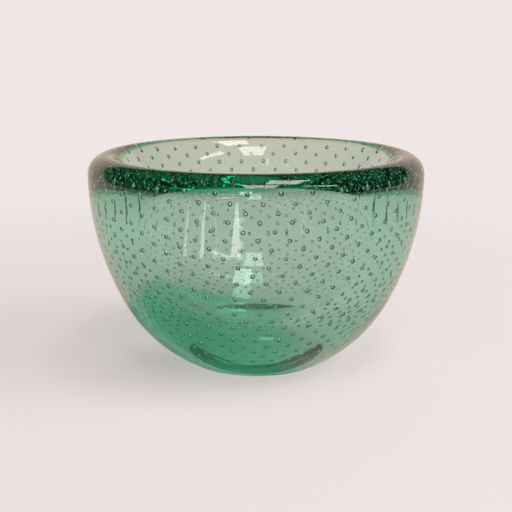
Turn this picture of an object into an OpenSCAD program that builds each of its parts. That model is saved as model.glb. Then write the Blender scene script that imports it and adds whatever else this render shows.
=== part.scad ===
// Controlled-bubble bowl: two gathers of one glass, fused hot, with a lattice of air bubbles between.
// Millimetres, +Z up. The origin is the centre of the ground foot, on the surface that the bowl stands on.

/* [Body] */
// Widest diameter, at the girth just under the shoulder
girth_d = 140; // [134:2:150]
// Height of the girth above the foot
girth_z = 80.5; // [79:0.5:82]
// Radius of the wall's arc below the girth, seen in profile
belly_arc = 114.5; // [112:0.5:117]
// Turn of the wall's arc before the heel's tighter arc takes over, in degrees
belly_turn = 28; // [26:1:30]
// Radius of the heel's arc, which runs down to the foot
heel_arc = 63.5; // [62:0.5:65]
// Height of the narrow ground edge round the foot
foot_edge = 0.8; // [0.4:0.2:1.2]

/* [Lip] */
// Radius of the round on the lip's outer side
shoulder_r = 8; // [7:0.5:8.5]
// Radius of the round on the lip's inner side
lip_inner_r = 6; // [5:0.5:6.5]
// Fall of the lip's crown towards the outside, in degrees
crown_fall = 11; // [8:1:14]
// Radius of the inner wall's outward flare under the lip
flare_arc = 33; // [30:1:36]
// Lean of the inner wall where the flare meets the lip's inner round, in degrees
flare_turn = 38; // [35:1:41]

/* [Inside] */
// Height of the lowest point inside, above the foot
floor_z = 12.5; // [11:0.5:14]
// Radius of the round basin that the inner wall runs into
basin_arc = 45; // [42:0.5:47]

/* [Bubbles] */
// Thickness of the outer gather over the bubbles
casing_t = 4; // [3.5:0.5:5]
// Height of the seam between the two gathers over the foot
seam_floor_z = 6; // [5:0.5:8]
// Number of rings of bubbles, from the lip down to the foot
rings = 25; // [18:1:25]
// Number of bubbles in a ring
per_ring = 36; // [24:2:36]
// Distance from one ring to the next, along the wall
ring_pitch = 3.4; // [3.2:0.1:3.4]
// Diameter of one bubble
bubble_d = 1.7; // [1.4:0.1:1.8]
// Height of the top ring above the girth
top_ring_rise = 4.5; // [4:0.5:5]
// Turn of the whole lattice about the bowl's axis, in degrees
lattice_turn = -1.6; // [-5:0.2:5]
// Turn of the lattice from one ring to the next, in degrees
ring_twist = -0.42; // [-0.6:0.06:0.6]
// Largest stray of a bubble from its place in the lattice
stray = 0.2; // [0:0.05:0.3]

/* [Hidden] */

glass_green = [0.30, 0.62, 0.47, 0.55];
casing_green = [0.22, 0.56, 0.42, 0.35];
bubble_grey = [0.86, 0.92, 0.88];
arc_step = 3;
foot_edge_slant = 1.6;
stray_seed = 41;
$fn = 96;

girth_r = girth_d / 2;
shoulder_at = [girth_r - shoulder_r, girth_z];
lip_inner_at = shoulder_at + (shoulder_r - lip_inner_r) * [sin(crown_fall), cos(crown_fall)];
flare_at = lip_inner_at + (flare_arc - lip_inner_r) * [cos(flare_turn), -sin(flare_turn)];
throat_r = flare_at[0] - flare_arc;
belly_at = [girth_r - belly_arc, girth_z];
heel_at = belly_at + (belly_arc - heel_arc) * [cos(belly_turn), -sin(belly_turn)];
heel_end_turn = turn_at(heel_at, heel_arc, foot_edge);
foot_r = heel_at[0] + heel_arc * cos(heel_end_turn) - foot_edge_slant * foot_edge;

basin_at = [0, floor_z + basin_arc];
basin_drop = flare_at[1] - basin_at[1];
inner_arc = (throat_r ^ 2 + basin_drop ^ 2 - basin_arc ^ 2) / (2 * (throat_r - basin_arc));
inner_at = [throat_r - inner_arc, flare_at[1]];
inner_turn = asin(basin_drop / (inner_arc - basin_arc));

seam_r = girth_r - casing_t;
seam_belly_arc = belly_arc - casing_t;
seam_heel_arc = heel_arc - casing_t;
seam_lip_angle = acos((seam_r - shoulder_at[0]) / shoulder_r);
seam_belly_run = seam_belly_arc * belly_turn * PI / 180;
bubble_pitch_angle = 360 / per_ring;

function ring_name(i) = str("bubble_row_", i < 10 ? "0" : "", i);

// Points of an arc, from one angle to another
function arc(at, r, from, to) =
    let (steps = max(1, ceil(abs(to - from) / arc_step)))
    [for (k = [0 : steps]) let (a = from + (to - from) * k / steps) at + r * [cos(a), sin(a)]];

// Angle below the horizontal at which an arc comes down to a height
function turn_at(at, r, z) = asin((at[1] - z) / r);

// Point on the seam, at a run along the wall below the girth; a negative run goes up towards the lip
function seam(run) =
    run < 0 ? [seam_r, girth_z - run]
    : run < seam_belly_run ? arc_point(belly_at, seam_belly_arc, run / seam_belly_arc)
    : arc_point(heel_at, seam_heel_arc, belly_turn * PI / 180 + (run - seam_belly_run) / seam_heel_arc);

function arc_point(at, r, radians) = at + r * [cos(radians * 180 / PI), -sin(radians * 180 / PI)];

function ring_run(i) = (i - 1) * ring_pitch - top_ring_rise;

// The seam in profile, from the foot up to the lip, with one straight facet behind each ring
seam_profile = concat(
    [[0, seam_floor_z]],
    [arc_point(heel_at, seam_heel_arc, turn_at(heel_at, seam_heel_arc, seam_floor_z) * PI / 180)],
    [for (i = [rings : -1 : 1]) seam(ring_run(i) + ring_pitch / 2)],
    [shoulder_at + shoulder_r * [cos(seam_lip_angle), sin(seam_lip_angle)]]
);

// One ring of bubbles, centred on the seam; every second ring is turned by half a step
module bubble_ring(i) {
    across = rands(-stray, stray, per_ring, stray_seed + i);
    along = rands(-stray, stray, per_ring, stray_seed - i);
    for (k = [0 : per_ring - 1]) {
        at = seam(ring_run(i) + along[k]);
        place = lattice_turn + i * ring_twist + (k + (i % 2) / 2) * bubble_pitch_angle;
        turn = place + across[k] / at[0] * 180 / PI;
        rotate([0, 0, turn])
            translate([at[0], 0, at[1]])
                sphere(d = bubble_d);
    }
}

// First gather: the inside of the bowl, whose outer face is pricked for the bubbles
module inner_gather() {
    color(glass_green)
        rotate_extrude()
            polygon(concat(
                seam_profile,
                arc(shoulder_at, shoulder_r, seam_lip_angle + arc_step, 90 - crown_fall),
                arc(lip_inner_at, lip_inner_r, 90 - crown_fall + arc_step, 180 - flare_turn),
                arc(flare_at, flare_arc, 180 - flare_turn + arc_step, 180),
                arc(inner_at, inner_arc, -arc_step, -inner_turn),
                arc(basin_at, basin_arc, -inner_turn - arc_step, -90)
            ));
}

// Second gather: the outside, the ground foot and the outer half of the lip, closed over the bubbles
module outer_casing() {
    color(casing_green)
        rotate_extrude()
            polygon(concat(
                [[0, 0], [foot_r, 0]],
                arc(heel_at, heel_arc, -heel_end_turn, -belly_turn),
                arc(belly_at, belly_arc, -belly_turn + arc_step, 0),
                arc(shoulder_at, shoulder_r, arc_step, seam_lip_angle - arc_step),
                [for (k = [len(seam_profile) - 1 : -1 : 0]) seam_profile[k]]
            ));
}

// Trapped air, one ring
module bubble_row(i) {
    color(bubble_grey) bubble_ring(i);
}

inner_gather();
outer_casing();
for (i = [1 : rings])
    bubble_row(i);
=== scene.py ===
import math
from random import Random

import bpy
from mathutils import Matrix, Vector

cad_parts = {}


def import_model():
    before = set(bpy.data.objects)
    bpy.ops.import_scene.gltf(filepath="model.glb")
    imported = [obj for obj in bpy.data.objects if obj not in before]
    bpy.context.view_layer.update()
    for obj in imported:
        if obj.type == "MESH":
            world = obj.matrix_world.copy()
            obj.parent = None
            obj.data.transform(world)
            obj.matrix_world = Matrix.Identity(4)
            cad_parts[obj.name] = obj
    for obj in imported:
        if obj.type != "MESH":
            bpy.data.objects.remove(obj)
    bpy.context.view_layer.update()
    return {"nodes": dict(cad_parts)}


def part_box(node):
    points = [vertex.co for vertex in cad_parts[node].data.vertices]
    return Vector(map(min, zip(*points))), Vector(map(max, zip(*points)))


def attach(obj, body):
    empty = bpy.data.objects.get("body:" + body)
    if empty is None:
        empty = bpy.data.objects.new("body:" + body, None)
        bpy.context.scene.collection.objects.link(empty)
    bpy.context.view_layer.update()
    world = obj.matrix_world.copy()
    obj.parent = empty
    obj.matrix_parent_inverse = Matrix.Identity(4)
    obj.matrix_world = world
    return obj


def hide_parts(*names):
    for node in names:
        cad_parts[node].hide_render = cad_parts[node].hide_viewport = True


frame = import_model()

MM = 0.001

# ---------------------------------------------------------------- sizes, in metres and degrees

casing_low, casing_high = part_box("outer_casing")
GIRTH_R = (casing_high.x - casing_low.x) / 2
FOOT_Z = casing_low.z
FLOOR_Z = 12.5 * MM
GIRTH_Z = 80.5 * MM
BELLY_ARC = 114.5 * MM
BELLY_TURN = 28
HEEL_ARC = 63.5 * MM
FOOT_EDGE = 0.8 * MM
FOOT_EDGE_SLANT = 1.6
SHOULDER_R = 8 * MM
LIP_INNER_R = 6 * MM
CROWN_FALL = 11
FLARE_ARC = 33 * MM
FLARE_TURN = 38
BASIN_ARC = 45 * MM
PROFILE_STEP = 0.9 * MM
AROUND = 256
BUBBLE_REACH = 2.2 * MM
BUBBLE_SPREAD = (0.96, 1.10)
BUBBLE_ACROSS = 20
BUBBLE_UP = 12
AIM = Vector((0, 0, 0.0437))


def at(centre, r, degrees):
    """Point on a circle in profile."""
    a = math.radians(degrees)
    return (centre[0] + r * math.cos(a), centre[1] + r * math.sin(a))


def arc(centre, r, start, end):
    """Points of an arc in profile, about PROFILE_STEP apart, without the last one."""
    steps = max(2, math.ceil(abs(math.radians(end - start)) * r / PROFILE_STEP))
    return [at(centre, r, start + (end - start) * k / steps) for k in range(steps)]


def line(a, b):
    """Points of a straight line in profile, about PROFILE_STEP apart, without the last one."""
    steps = max(1, math.ceil(math.dist(a, b) / PROFILE_STEP))
    return [(a[0] + (b[0] - a[0]) * k / steps, a[1] + (b[1] - a[1]) * k / steps)
            for k in range(steps)]


def bowl_profile():
    """Outline as (radius, height), from the middle of the foot round to the middle of the floor."""
    shoulder = (GIRTH_R - SHOULDER_R, GIRTH_Z)
    lip = at(shoulder, SHOULDER_R - LIP_INNER_R, 90 - CROWN_FALL)
    flare = at(lip, FLARE_ARC - LIP_INNER_R, -FLARE_TURN)
    throat_r = flare[0] - FLARE_ARC
    belly = (GIRTH_R - BELLY_ARC, GIRTH_Z)
    heel = at(belly, BELLY_ARC - HEEL_ARC, -BELLY_TURN)
    foot_turn = math.degrees(math.asin((heel[1] - FOOT_Z - FOOT_EDGE) / HEEL_ARC))
    heel_end = at(heel, HEEL_ARC, -foot_turn)
    foot_r = heel_end[0] - FOOT_EDGE_SLANT * FOOT_EDGE
    drop = flare[1] - FLOOR_Z - BASIN_ARC
    inner_arc = (throat_r ** 2 + drop ** 2 - BASIN_ARC ** 2) / (2 * (throat_r - BASIN_ARC))
    inner = (throat_r - inner_arc, flare[1])
    basin = (0, FLOOR_Z + BASIN_ARC)
    inner_turn = math.degrees(math.asin(drop / (inner_arc - BASIN_ARC)))
    return (
        line((0, FOOT_Z), (foot_r, FOOT_Z))
        + line((foot_r, FOOT_Z), heel_end)
        + arc(heel, HEEL_ARC, -foot_turn, -BELLY_TURN)
        + arc(belly, BELLY_ARC, -BELLY_TURN, 0)
        + arc(shoulder, SHOULDER_R, 0, 90 - CROWN_FALL)
        + arc(lip, LIP_INNER_R, 90 - CROWN_FALL, 180 - FLARE_TURN)
        + arc(flare, FLARE_ARC, 180 - FLARE_TURN, 180)
        + arc(inner, inner_arc, 0, -inner_turn)
        + arc(basin, BASIN_ARC, -inner_turn, -90)
        + [(0, FLOOR_Z)]
    )


def new_object(name, points, faces, material):
    """A smooth mesh object with one material."""
    mesh = bpy.data.meshes.new(name)
    mesh.from_pydata(points, [], faces)
    mesh.polygons.foreach_set("use_smooth", [True] * len(mesh.polygons))
    mesh.materials.append(material)
    mesh.validate()
    mesh.update()
    obj = bpy.data.objects.new(name, mesh)
    bpy.context.scene.collection.objects.link(obj)
    return obj


def lathe(profile):
    """Points and faces of a closed solid turned from a profile that starts and ends on the axis."""
    points = [(0, 0, profile[0][1])]
    rings = profile[1:-1]
    for r, z in rings:
        for k in range(AROUND):
            a = 2 * math.pi * k / AROUND
            points.append((r * math.cos(a), r * math.sin(a), z))
    points.append((0, 0, profile[-1][1]))
    last = len(points) - 1
    faces = [(0, 1 + (k + 1) % AROUND, 1 + k) for k in range(AROUND)]
    for i in range(len(rings) - 1):
        low = 1 + i * AROUND
        high = low + AROUND
        for k in range(AROUND):
            n = (k + 1) % AROUND
            faces.append((low + k, low + n, high + n, high + k))
    top = 1 + (len(rings) - 1) * AROUND
    faces += [(top + k, top + (k + 1) % AROUND, last) for k in range(AROUND)]
    return points, faces


# ---------------------------------------------------------------- materials

GLASS_IOR = 1.5
TINT = (0.0, 0.71, 0.55, 1)
TINT_DENSITY = 26.0
GLASS_WAVE = (60.0, 0.015 * MM)
BUBBLE_WAVE = (900.0, 0.01 * MM)


def node_tree(material):
    """An emptied node tree and its output."""
    material.use_nodes = True
    tree = material.node_tree
    tree.nodes.clear()
    return tree, tree.nodes.new("ShaderNodeOutputMaterial")


def waviness(tree, wave):
    """The slight unevenness of glass that was shaped by hand while hot; wave is (scale, depth)."""
    scale, depth = wave
    place = tree.nodes.new("ShaderNodeNewGeometry")
    noise = tree.nodes.new("ShaderNodeTexNoise")
    noise.inputs["Scale"].default_value = scale
    noise.inputs["Detail"].default_value = 2.0
    bump = tree.nodes.new("ShaderNodeBump")
    bump.inputs["Distance"].default_value = depth
    tree.links.new(place.outputs["Position"], noise.inputs["Vector"])
    tree.links.new(noise.outputs["Fac"], bump.inputs["Height"])
    return bump.outputs["Normal"]


def glass_material():
    """Clear skin; the green comes from absorption along the light's path."""
    material = bpy.data.materials.new("sea_green_glass")
    tree, out = node_tree(material)
    glass = tree.nodes.new("ShaderNodeBsdfPrincipled")
    glass.inputs["Base Color"].default_value = (1, 1, 1, 1)
    glass.inputs["Roughness"].default_value = 0.0
    glass.inputs["IOR"].default_value = GLASS_IOR
    glass.inputs["Transmission Weight"].default_value = 1.0
    tree.links.new(waviness(tree, GLASS_WAVE), glass.inputs["Normal"])
    tint = tree.nodes.new("ShaderNodeVolumeAbsorption")
    tint.inputs["Color"].default_value = TINT
    tint.inputs["Density"].default_value = TINT_DENSITY
    tree.links.new(glass.outputs[0], out.inputs["Surface"])
    tree.links.new(tint.outputs[0], out.inputs["Volume"])
    return material


def bubble_material():
    """The wall of a bubble, seen from inside the glass."""
    material = bpy.data.materials.new("trapped_air")
    tree, out = node_tree(material)
    air = tree.nodes.new("ShaderNodeBsdfGlass")
    air.inputs["Color"].default_value = (1, 1, 1, 1)
    air.inputs["Roughness"].default_value = 0.0
    air.inputs["IOR"].default_value = 1 / GLASS_IOR
    tree.links.new(waviness(tree, BUBBLE_WAVE), air.inputs["Normal"])
    tree.links.new(air.outputs[0], out.inputs["Surface"])
    return material


# ---------------------------------------------------------------- pieces

def bubble_centres(node):
    """Middle of each bubble in a CAD ring: vertices within BUBBLE_REACH belong together."""
    groups = []
    for v in frame["nodes"][node].data.vertices:
        for g in groups:
            if (v.co - g[0]).length < BUBBLE_REACH:
                g.append(v.co.copy())
                break
        else:
            groups.append([v.co.copy()])
    middles = []
    for g in groups:
        low = Vector([min(p[i] for p in g) for i in range(3)])
        high = Vector([max(p[i] for p in g) for i in range(3)])
        middles.append(((low + high) / 2, (high - low).length / 2 / math.sqrt(3)))
    return middles


def ball(centre, r, across, up):
    """Points and faces of one small round ball."""
    points = [(centre[0], centre[1], centre[2] - r)]
    for j in range(1, up):
        b = math.pi * j / up
        for k in range(across):
            a = 2 * math.pi * k / across
            points.append((
                centre[0] + r * math.sin(b) * math.cos(a),
                centre[1] + r * math.sin(b) * math.sin(a),
                centre[2] - r * math.cos(b),
            ))
    points.append((centre[0], centre[1], centre[2] + r))
    last = len(points) - 1
    faces = [(0, 1 + (k + 1) % across, 1 + k) for k in range(across)]
    for j in range(up - 2):
        low = 1 + j * across
        for k in range(across):
            n = (k + 1) % across
            faces.append((low + k, low + n, low + across + n, low + across + k))
    top = 1 + (up - 2) * across
    faces += [(top + k, top + (k + 1) % across, last) for k in range(across)]
    return points, faces


def bubble_row(node, material, rng):
    points = []
    faces = []
    for centre, r in bubble_centres(node):
        drawn_r = r * rng.uniform(*BUBBLE_SPREAD)
        ball_points, ball_faces = ball(centre, drawn_r, BUBBLE_ACROSS, BUBBLE_UP)
        faces += [tuple(i + len(points) for i in face) for face in ball_faces]
        points += ball_points
    row = new_object(node + "_air", points, faces, material)
    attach(row, "root")
    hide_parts(node)
    return row


def bowl(material):
    points, faces = lathe(bowl_profile())
    piece = new_object("bowl_glass", points, faces, material)
    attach(piece, "root")
    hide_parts("inner_gather", "outer_casing")
    return piece


# ---------------------------------------------------------------- stage, light and camera

# The sheet as lamps light it (SHEET) and as an even glow (GLOW), seen straight on and by the glass
SHEET_SEEN = (0.80, 0.725, 0.72, 1)
SHEET_BOUNCE = (0.78, 0.60, 0.55, 1)
GLOW_SEEN = (0.86, 0.80, 0.785, 1)
GLOW_BOUNCE = (0.88, 0.66, 0.58, 1)
ROOM_COLOUR = (0.05, 0.05, 0.045, 1)
# Share of the sheet's painted glow at each distance from the middle of the painted shadow; under the
# bowl the glow lightens the shade
GLOW_RINGS = ((0.0, 0.45), (0.034, 0.62), (0.16, 0.68), (0.42, 1.0))
# A painted green shadow on the sheet under the bowl, its middle a little to the left: the bowl's shade
# and the green light through its glass, painted into the glow that only the glass sees; set by trial to
# suit the photo
PAINTED_SHADOW_AT = (-0.035, -0.008, 0.0)
PAINTED_SHADOW_BOUNCE = (0.22, 0.56, 0.36, 1)
PAINTED_SHADOW_EDGE = (0.048, 0.066)
# How high the pale back reaches, as the direction's y - z
SHEET_TOP = 0.35
SHEET_TOP_SOFT = 0.12
FLOOR_HALF = 30
FLOOR_LEVEL = -0.3 * MM
LAMP_COLOUR = (1, 0.96, 0.93)
STRIP_NEAR = 0.15
STRIP_FAR = 0.45
STRIP_Z = 0.002


def two_tone(tree, seen, bounce):
    """One colour seen straight on by the camera, and another that the glass and the light pick up."""
    path = tree.nodes.new("ShaderNodeLightPath")
    tone = tree.nodes.new("ShaderNodeMixRGB")
    tone.inputs["Color1"].default_value = bounce
    tone.inputs["Color2"].default_value = seen
    tree.links.new(path.outputs["Is Camera Ray"], tone.inputs["Fac"])
    return tone.outputs["Color"]


def soft_step(tree, value, low, high):
    """0 below low, 1 above high, and a smooth rise between them."""
    step = tree.nodes.new("ShaderNodeMapRange")
    step.interpolation_type = "SMOOTHSTEP"
    step.inputs["From Min"].default_value = low
    step.inputs["From Max"].default_value = high
    tree.links.new(value, step.inputs["Value"])
    return step.outputs["Result"]


def glow_share(tree, distance):
    """How much of the sheet's tone is painted glow, by distance from the middle of the painted shadow.
    """
    ramp = tree.nodes.new("ShaderNodeValToRGB")
    stops = ramp.color_ramp.elements
    while len(stops) < len(GLOW_RINGS):
        stops.new(1.0)
    for stop, (radius, share) in zip(stops, GLOW_RINGS):
        stop.position = radius
        stop.color = (share, share, share, 1)
    tree.links.new(distance, ramp.inputs["Fac"])
    return ramp.outputs["Color"]


def sheet_material():
    """Paper that takes light and shadow near the bowl and runs out into an even pale ground; the
    sheet's own glow is painted light that also lightens the shade near the bowl.
    """
    material = bpy.data.materials.new("pale_floor")
    tree, out = node_tree(material)
    place = tree.nodes.new("ShaderNodeNewGeometry")
    reach = tree.nodes.new("ShaderNodeVectorMath")
    reach.operation = "DISTANCE"
    reach.inputs[1].default_value = PAINTED_SHADOW_AT
    tree.links.new(place.outputs["Position"], reach.inputs[0])
    paper = tree.nodes.new("ShaderNodeBsdfDiffuse")
    tree.links.new(two_tone(tree, SHEET_SEEN, SHEET_BOUNCE), paper.inputs["Color"])
    # Painted green shadow: near the bowl, the glow that the glass and the light pick up turns dark
    # green
    bounce = tree.nodes.new("ShaderNodeMixRGB")
    bounce.inputs["Color1"].default_value = PAINTED_SHADOW_BOUNCE
    bounce.inputs["Color2"].default_value = GLOW_BOUNCE
    tree.links.new(soft_step(tree, reach.outputs["Value"], *PAINTED_SHADOW_EDGE), bounce.inputs["Fac"])
    tone = two_tone(tree, GLOW_SEEN, GLOW_BOUNCE)
    tree.links.new(bounce.outputs["Color"], tone.node.inputs["Color1"])
    # Painted light: the sheet itself glows, and near the bowl this glow lightens the shade
    glow = tree.nodes.new("ShaderNodeEmission")
    tree.links.new(tone, glow.inputs["Color"])
    mix = tree.nodes.new("ShaderNodeMixShader")
    tree.links.new(glow_share(tree, reach.outputs["Value"]), mix.inputs["Fac"])
    tree.links.new(paper.outputs[0], mix.inputs[1])
    tree.links.new(glow.outputs[0], mix.inputs[2])
    tree.links.new(mix.outputs[0], out.inputs["Surface"])
    return material


def stage():
    """One large flat sheet, a hair under the foot."""
    mesh = bpy.data.meshes.new("floor")
    corners = [(-1, -1), (1, -1), (1, 1), (-1, 1)]
    points = [(x * FLOOR_HALF, y * FLOOR_HALF, FLOOR_LEVEL) for x, y in corners]
    mesh.from_pydata(points, [], [(0, 1, 2, 3)])
    mesh.materials.append(sheet_material())
    floor = bpy.data.objects.new("floor", mesh)
    bpy.context.scene.collection.objects.link(floor)


def world():
    """A dim room; behind the bowl the sheet hangs up to a fair height, so that side is pale."""
    studio = bpy.data.worlds.new("studio")
    bpy.context.scene.world = studio
    studio.use_nodes = True
    tree = studio.node_tree
    back = tree.nodes["Background"]
    way = tree.nodes.new("ShaderNodeTexCoord")
    parts = tree.nodes.new("ShaderNodeSeparateXYZ")
    lean = tree.nodes.new("ShaderNodeMath")
    lean.operation = "SUBTRACT"
    tone = tree.nodes.new("ShaderNodeMixRGB")
    tone.inputs["Color1"].default_value = ROOM_COLOUR
    tree.links.new(way.outputs["Generated"], parts.inputs[0])
    tree.links.new(parts.outputs["Y"], lean.inputs[0])
    tree.links.new(parts.outputs["Z"], lean.inputs[1])
    pale = soft_step(tree, lean.outputs[0], SHEET_TOP - SHEET_TOP_SOFT, SHEET_TOP + SHEET_TOP_SOFT)
    tree.links.new(pale, tone.inputs["Fac"])
    tree.links.new(two_tone(tree, GLOW_SEEN, GLOW_BOUNCE), tone.inputs["Color2"])
    tree.links.new(tone.outputs["Color"], back.inputs["Color"])


def panel(name, place, turn, size, glow):
    """A rectangular lamp that shines down its own -Z; glow is how bright its face looks."""
    light = bpy.data.lights.new(name, "AREA")
    light.shape = "RECTANGLE"
    light.size = size[0]
    light.size_y = size[1]
    light.energy = glow * math.pi * size[0] * size[1]
    light.color = LAMP_COLOUR
    obj = bpy.data.objects.new(name, light)
    obj.location = place
    obj.rotation_euler = turn
    bpy.context.scene.collection.objects.link(obj)
    return obj


def ceiling_panel(name, height, left, right, back, front, glow):
    """A panel overhead; its edges are given for one unit of height, measured from above the bowl."""
    place = (height * (left + right) / 2, -height * (back + front) / 2, height)
    panel(name, place, (0, 0, 0), (height * (right - left), height * (front - back)), glow)


def side_panel(name, azimuth, elevation, distance, size, glow):
    """A panel that lights the sheet and throws the shadow, but does not show in the glass.

    Azimuth runs from the camera's side to its right, in degrees.
    """
    a = math.radians(azimuth)
    e = math.radians(elevation)
    way = Vector((math.cos(e) * math.sin(a), -math.cos(e) * math.cos(a), math.sin(e)))
    lamp = panel(name, AIM + distance * way, way.to_track_quat("Z", "Y").to_euler(), size, glow)
    lamp.visible_glossy = False
    lamp.visible_transmission = False


def table_strip(name, azimuth, width, glow):
    """A narrow light strip that lies on the sheet in front of the bowl and points away from it."""
    a = math.radians(azimuth)
    reach = (STRIP_NEAR + STRIP_FAR) / 2
    place = (reach * math.sin(a), -reach * math.cos(a), STRIP_Z)
    panel(name, place, (math.pi, 0, a), (width, STRIP_FAR - STRIP_NEAR), glow)


def lamps():
    """Panels set where their reflections give the highlights on the far wall, the lip and the front."""
    ceiling_panel("main_panel", 1.5, 0.08, 0.35, -0.02, 0.40, 9)
    ceiling_panel("front_panel", 1.3, -0.13, 0.23, 0.48, 0.93, 8)
    ceiling_panel("right_panel", 1.2, 0.51, 1.13, 0.55, 0.70, 8)
    side_panel("key_panel", 75, 42, 1.8, (0.8, 0.8), 9)
    table_strip("wide_strip", -11, 0.014, 7)
    table_strip("middle_strip", -30, 0.007, 5)
    table_strip("narrow_strip", -40, 0.005, 4)


CAMERA_DISTANCE = 0.420
CAMERA_ELEVATION = math.radians(13.0)
CAMERA_MIDDLE = Vector((0, 0, 0.045))
CAMERA_LENS = 68.8


def camera():
    """Low in front of the bowl, at the photo's viewing angle."""
    cam = bpy.data.cameras.new("camera")
    cam.lens = CAMERA_LENS
    cam.sensor_width = 36
    cam.clip_start = 0.01
    cam.clip_end = 100
    obj = bpy.data.objects.new("camera", cam)
    way = Vector((0, -math.cos(CAMERA_ELEVATION), math.sin(CAMERA_ELEVATION)))
    obj.location = CAMERA_MIDDLE + CAMERA_DISTANCE * way
    obj.rotation_euler = (AIM - obj.location).to_track_quat("-Z", "Y").to_euler()
    bpy.context.scene.collection.objects.link(obj)
    bpy.context.scene.camera = obj


def light_paths():
    """Enough bounces for light that is reflected many times inside the lip."""
    scene = bpy.context.scene
    scene.view_settings.view_transform = "Standard"
    scene.cycles.max_bounces = 32
    scene.cycles.transmission_bounces = 32
    scene.cycles.glossy_bounces = 16


rng = Random(7)
bowl(glass_material())
air = bubble_material()
for name in sorted(n for n in frame["nodes"] if n.startswith("bubble_row_")):
    bubble_row(name, air, rng)
stage()
world()
lamps()
camera()
light_paths()
